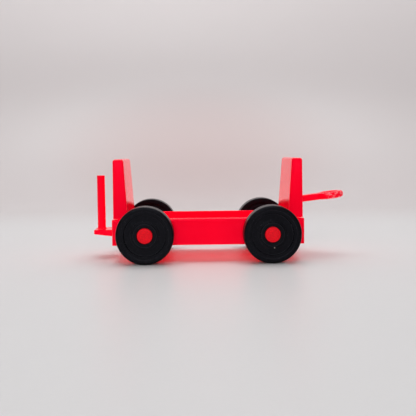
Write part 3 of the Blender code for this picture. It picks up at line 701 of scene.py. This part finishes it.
def make_hitch():
    """A lug with an upright post, and the split tongue that snaps through the rear skirt."""
    root_x = BODY_LOW.x - GAP
    bottom = LUG_TOP - LUG_THICKNESS
    reach = LUG_HALF_WIDTH - SKIN
    bm = block_mesh((HITCH_LOW.x + SKIN, -reach, bottom), (root_x, reach, LUG_TOP))
    middle_x = (HITCH_LOW.x + root_x) / 2
    for v in bm.verts:
        if v.co.x < middle_x and v.co.z < (bottom + LUG_TOP) / 2:
            v.co.z += LUG_RISE
    tip = [e for e in bm.edges if (e.verts[0].co.x + e.verts[1].co.x) / 2 < middle_x]
    bmesh.ops.bevel(
        bm, geom=tip, offset=LUG_ROUNDING, segments=5, profile=0.5, affect="EDGES", clamp_overlap=True
    )
    lug = new_object("rear_hitch_moulding", bm)
    barb_x = BODY_LOW.x + SKIRT_THICKNESS + GAP
    end_x = root_x + TONGUE_LENGTH
    boolean(lug, [*hitch_tongue(root_x, barb_x, end_x), hitch_post()], "UNION")
    low, high = (barb_x, -TONGUE_BARB, bottom - OVERSHOOT), (end_x + OVERSHOOT, TONGUE_BARB, LUG_TOP)
    boolean(lug, [new_object("slit", block_mesh(low, high))], "DIFFERENCE")
    soften(lug, 0.00010, 2, 55)
    finished(lug, "chassis", ["rear_hitch"], GLOSS)


def hitch_post():
    """It tapers slightly, and its foot runs out over the lug in a quarter round."""
    foot_r, tip_r = POST_RADII[0] - SKIN, POST_RADII[1] - SKIN
    top, sunk = HITCH_HIGH.z - SKIN, TONGUE_TOP - GAP
    section = filleted([(0, top, 0), (tip_r, top, POST_RIM), (foot_r, LUG_TOP + POST_FILLET, 0)])
    for k in range(1, 9):
        a = math.radians(90 * k / 8)
        section.append((foot_r + POST_FILLET * (1 - math.cos(a)), LUG_TOP + POST_FILLET * (1 - math.sin(a))))
    section += [(foot_r + POST_FILLET, sunk), (0, sunk)]
    post = lathe("post", section, 72)
    placed(post, (CENTRE_X + POST_X, 0, 0))
    return post


def hitch_tongue(root_x, barb_x, end_x):
    reach = TONGUE_HALF_WIDTH
    tongue = block_mesh((root_x - LUG_THICKNESS, -reach, TONGUE_BOTTOM), (end_x, reach, TONGUE_TOP))
    widest = reach + TONGUE_BARB
    barb = block_mesh((barb_x, -widest, TONGUE_BOTTOM), (end_x, widest, TONGUE_TOP))
    for v in barb.verts:
        if v.co.x > barb_x + GAP:
            v.co.y -= math.copysign(2 * TONGUE_BARB, v.co.y)
    return [new_object("tongue", tongue), new_object("barb", barb)]


def make_plate():
    low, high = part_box("base_plate")
    low, high = low + Vector((SKIN,) * 3), high - Vector((SKIN,) * 3)
    bottom, top = low.z, PLATE_TOP
    below, above = bottom - OVERSHOOT, top + OVERSHOOT
    size = ((low.x, low.y, bottom), (high.x, high.y, top))
    plate = rounded_block("base_plate_moulding", *size, 0.0004, 3, lambda m: m.z > bottom + GAP)
    added, cut = [], []
    reach_x, reach_y = CRADLE_HALF_LENGTH, CRADLE_HALF_THICKNESS
    for end, side, name in corners():
        x, y = CENTRE_X + end * HALF_BASE, side * CRADLE_Y
        cradle = block_mesh((x - reach_x, y - reach_y, top - 0.0008), (x + reach_x, y + reach_y, high.z))
        added.append(new_object("cradle", cradle))
        x, y = CENTRE_X + end * SCREW_AT[0], side * SCREW_AT[1]
        cut.append(rod("hole", SCREW_RADIUS + GAP, (x, y, below), (x, y, above), "Z", 40))
        seat = (x, y, bottom + SCREW_SEAT_DEPTH)
        cut.append(rod("seat", SCREW_HEAD_RADIUS + GAP, (x, y, below), seat, "Z", 48))
        x, y = CENTRE_X + end * 0.0330, side * 0.0085
        cut.append(rod("ejector_mark", 0.0016, (x, y, below), (x, y, bottom + 0.00008), "Z", 40))
    cut.append(rod("gate_mark", 0.0010, (CENTRE_X, 0, below), (CENTRE_X, 0, bottom + 0.00015), "Z", 32))
    reach = BODY_HALF[1] - GAP
    for end in (FRONT, REAR):
        x = CENTRE_X + end * HALF_BASE
        cut.append(rod("saddle", AXLE_RADIUS + PRESS_GAP, (x, -reach, AXLE_Z), (x, reach, AXLE_Z), "Y", 64))
    boolean(plate, added, "UNION")
    boolean(plate, cut, "DIFFERENCE")
    finished(plate, "chassis", ["base_plate"], PLATE_GLOSS)


def wheel_section():
    """Down the outer side, round the tread, over the back and up the bore, as (radius, height, fillet)."""
    radius, face, fine = WHEEL_RADIUS, WHEEL_THICKNESS, 0.00012
    bore, pocket = AXLE_RADIUS + RUNNING_GAP, CAP_POCKET_RADIUS
    collar, step, web, rim = face - COLLAR_SINK, face - STEP_SINK, face - WEB_SINK, face - RIM_STEP
    back_recess, back_hub = 0.0030, 0.0040
    tread, seam = face * 0.46, 0.00012
    return [
        (pocket, collar, fine),
        (COLLAR_RADII[0], collar, 0.00020),
        (COLLAR_RADII[0], step, fine),
        (COLLAR_RADII[1], step, 0.00022),
        (COLLAR_RADII[1], web, fine),
        (RECESS_RADIUS, web, 0.00030),
        (RECESS_RADIUS, rim, 0.00020),
        (RIM_STEP_RADIUS, rim, fine),
        (RIM_STEP_RADIUS, face, 0.00018),
        (radius, face, 0.0009),
        (radius, tread + seam, 0),
        (radius - 0.00004, tread, 0),
        (radius, tread - seam, 0),
        (radius, 0, 0.0003),
        (RIM_STEP_RADIUS, 0, 0.00025),
        (RIM_STEP_RADIUS, back_recess, 0.00040),
        (back_hub, back_recess, 0.00030),
        (back_hub, 0, 0.00020),
        (bore, 0, fine),
        (bore, collar - CAP_POCKET_DEPTH, 0),
        (pocket, collar - CAP_POCKET_DEPTH, 0),
    ]


def make_wheels():
    section = filleted(wheel_section(), closed=True)
    for end, side, name in corners():
        node = "wheel_" + name
        wheel = lathe(node + "_disc", section, 128, closed=True)
        step = WHEEL_THICKNESS - STEP_SINK
        gate = [(0, step + 0.00010), (0.00020, step + 0.00007), (0.00028, step - 0.0002), (0, step - 0.0002)]
        gate = lathe("gate", gate, 20)
        placed(gate, GATE)
        boolean(wheel, [gate], "UNION")
        wheel.location = (CENTRE_X + end * HALF_BASE, side * WHEEL_INNER_Y, AXLE_Z)
        wheel.rotation_euler.x = -side * math.pi / 2
        black = BLACK_SPECKED if end == FRONT else BLACK
        finished(wheel, node, [node], black, 30)


def make_caps():
    low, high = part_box("hub_cap_front_left")
    depth = high.y - low.y - 2 * SKIN
    radius = (high.z - low.z) / 2 - SKIN
    hole, hole_depth = AXLE_RADIUS + PRESS_GAP, 0.00153
    section = filleted(
        [
            (0, depth, 0),
            (radius * 0.55, depth - 0.00002, 0),
            (radius, depth - 0.00010, 0.00028),
            (radius, 0, 0.00010),
            (hole, 0, 0),
            (hole, hole_depth, 0),
            (0, hole_depth, 0),
        ]
    )
    for end, side, name in corners():
        cap = lathe("hub_cap_" + name + "_disc", section, 96)
        cap.location = (CENTRE_X + end * HALF_BASE, side * (low.y + SKIN), AXLE_Z)
        cap.rotation_euler.x = -side * math.pi / 2
        finished(cap, "chassis", ["hub_cap_" + name], CAP_MATT)


def make_screws():
    """A flat head with a cross recess over a shank with a real thread."""
    head_r, core_r = SCREW_HEAD_RADIUS - SKIN, SCREW_CORE_RADIUS
    under, sunk = SCREW_HEAD_HEIGHT, SCREW_HEAD_HEIGHT + 0.0004
    for end, side, name in corners():
        section = [(0, 0, 0), (head_r, 0, 0.00010), (head_r, under, 0.00008)]
        section += [(core_r, under, 0), (core_r, sunk, 0), (0, sunk, 0)]
        screw = lathe("base_screw_" + name + "_threaded", filleted(section)[::-1], 40)
        boolean(screw, [thread(under + 0.0002)], "UNION")
        arm, half, deep = SCREW_SLOT
        along = rounded_block("along", (-arm, -half, -deep), (arm, half, deep), 0.00006, 2)
        across = rounded_block("across", (-half, -arm, -deep), (half, arm, deep), 0.00006, 2)
        boolean(screw, [along, across], "DIFFERENCE")
        low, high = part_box("base_screw_" + name)
        placed(screw, ((low.x + high.x) / 2, (low.y + high.y) / 2, low.z + SKIN / 2))
        finished(screw, "chassis", ["base_screw_" + name], SCREW_STEEL)


def thread(start, steps=40, rows=120):
    """The shank from start to its tapered point, with a ridge winding up it."""
    length, shank_r, core_r = SCREW_LENGTH - SKIN, SCREW_RADIUS - SKIN, SCREW_CORE_RADIUS
    bm = bmesh.new()
    grid = []
    for j in range(rows + 1):
        height = start + (length - start) * j / rows
        taper = min(1.0, (length - height) / 0.0014)
        ring = []
        for k in range(steps):
            phase = (height / THREAD_PITCH - k / steps) % 1.0
            crest = max(0.0, 1.0 - abs(phase - 0.5) * 3.2)
            r = (core_r + (shank_r - core_r) * crest) * (0.35 + 0.65 * taper)
            a = 2 * math.pi * k / steps
            ring.append(bm.verts.new((r * math.cos(a), r * math.sin(a), height)))
        grid.append(ring)
    for lower, upper in zip(grid, grid[1:]):
        for k in range(steps):
            after = (k + 1) % steps
            bm.faces.new((lower[k], lower[after], upper[after], upper[k]))
    bm.faces.new(grid[0][::-1])
    bm.faces.new(grid[-1])
    return new_object("thread", bm)


def dress_kept_nodes():
    """The shafts and the pin's keeper are right as they are, and only need their finish."""
    for name, material in (
        ("front_axle", AXLE_STEEL),
        ("rear_axle", AXLE_STEEL),
        ("drawbar_pivot_pin", AXLE_STEEL),
        ("drawbar_pin_keeper", GLOSS),
    ):
        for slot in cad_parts[name].material_slots:
            slot.material = material


# Camera, stage and light


def make_camera():
    camera = bpy.data.objects.new("camera", bpy.data.cameras.new("camera"))
    bpy.context.scene.collection.objects.link(camera)
    camera.data.sensor_width = 36.0
    camera.data.lens = 60.58
    camera.data.clip_start = 0.01
    camera.data.clip_end = 20.0
    yaw, pitch, roll = math.radians(1.235), math.radians(4.594), math.radians(0.577)
    turn = (
        Matrix.Rotation(-yaw, 4, "Z")
        @ Matrix.Rotation(math.pi / 2 - pitch, 4, "X")
        @ Matrix.Rotation(-roll, 4, "Z")
    )
    camera.matrix_world = Matrix.Translation((CENTRE_X - 0.006661, -0.32424, 0.048068)) @ turn
    bpy.context.scene.camera = camera


def make_stage():
    """A pale sweep: flat under the wagon, then a curve up to a wall behind it, with a painted pink glow of
    the red light that the wagon throws back.
    """
    near, bend, radius, height, half = -1.6, 0.24, 0.18, 2.2, 2.2
    line = [(near, 0.0), (bend * 0.5, 0.0), (bend, 0.0)]
    for k in range(1, 25):
        a = math.radians(90 * k / 24)
        line.append((bend + radius * math.sin(a), radius * (1 - math.cos(a))))
    line.append((bend + radius, height))
    bm = bmesh.new()
    rows = [[bm.verts.new((x, y, z)) for x in (-half, 0.0, half)] for y, z in line]
    for first, second in zip(rows, rows[1:]):
        for k in range(2):
            bm.faces.new((first[k], first[k + 1], second[k + 1], second[k]))
    sweep = new_object("sweep", bm)
    sweep.data.shade_smooth()
    made = Finish("sweep_paper")
    made.set(IOR=1.45, Specular_IOR_Level=0.5)
    paper = made.noise(900.0, 4.0, 0.6)
    floor = made.colours(paper, (0.690, 0.688, 0.690), (0.715, 0.713, 0.715))
    # Painted shade and light: the wall is pinker and darker than the floor low down, and lighter above 0.21
    # m.
    wall = made.colours(paper, (0.625, 0.582, 0.582), (0.645, 0.602, 0.602))
    wall = made.colours(made.ramp(made.axis("Z"), 0.10, 0.21), wall, (0.800, 0.755, 0.755))
    colour = made.colours(made.ramp(made.axis("Y"), 0.10, 0.32), floor, wall)
    # Painted light: a soft pink glow on the wall behind the wagon, standing in for the red light its body
    # throws back.
    glow_height, glow_reach_x, glow_reach_z = 0.050, 0.120, 0.055
    across = made.math("DIVIDE", made.math("SUBTRACT", made.axis("X"), CENTRE_X), glow_reach_x)
    up = made.math("DIVIDE", made.math("SUBTRACT", made.axis("Z"), glow_height), glow_reach_z)
    away = made.math("ADD", made.math("MULTIPLY", across, across), made.math("MULTIPLY", up, up))
    painted_red_glow = made.math("MULTIPLY", made.ramp(away, -0.9, 1.9, 1.0, 0.0), made.ramp(made.axis("Y"), 0.20, 0.32))
    colour = made.colours(painted_red_glow, colour, (0.560, 0.432, 0.425))
    rough = made.math("MULTIPLY_ADD", made.noise(160.0, 2.0), 0.06, 0.36)
    normal = made.bump(made.noise(2500.0, 3.0, 0.6), 0.00001, 0.6)
    sweep.data.materials.append(made.use(colour, rough, normal))


def area(name, place, target, size, power, colour=(1.0, 1.0, 1.0)):
    lamp = bpy.data.lights.new(name, "AREA")
    lamp.shape = "RECTANGLE"
    lamp.size, lamp.size_y = size
    lamp.energy = power
    lamp.color = colour
    made = bpy.data.objects.new(name, lamp)
    bpy.context.scene.collection.objects.link(made)
    made.location = place
    made.rotation_euler = (Vector(target) - Vector(place)).to_track_quat("-Z", "Y").to_euler()


def make_light():
    world = bpy.data.worlds.new("room")
    bpy.context.scene.world = world
    world.use_nodes = True
    back = world.node_tree.nodes["Background"]
    back.inputs["Color"].default_value = (0.97, 0.97, 1.0, 1.0)
    back.inputs["Strength"].default_value = 0.14
    area("softbox_top", (0.0, 0.12, 0.85), (0.0, 0.0, 0.0), (0.8, 0.6), 5.5)
    area("softbox_front", (-0.15, -1.5, 0.50), (0.0, 0.0, 0.0), (0.9, 0.5), 10.0)
    bpy.context.scene.view_settings.view_transform = "Standard"


make_body()
make_board("front_end_board_moulding", FRONT)
make_board("rear_end_board_moulding", REAR)
make_drawbar()
make_hitch()
make_plate()
make_wheels()
make_caps()
make_screws()
dress_kept_nodes()
make_camera()
make_stage()
make_light()
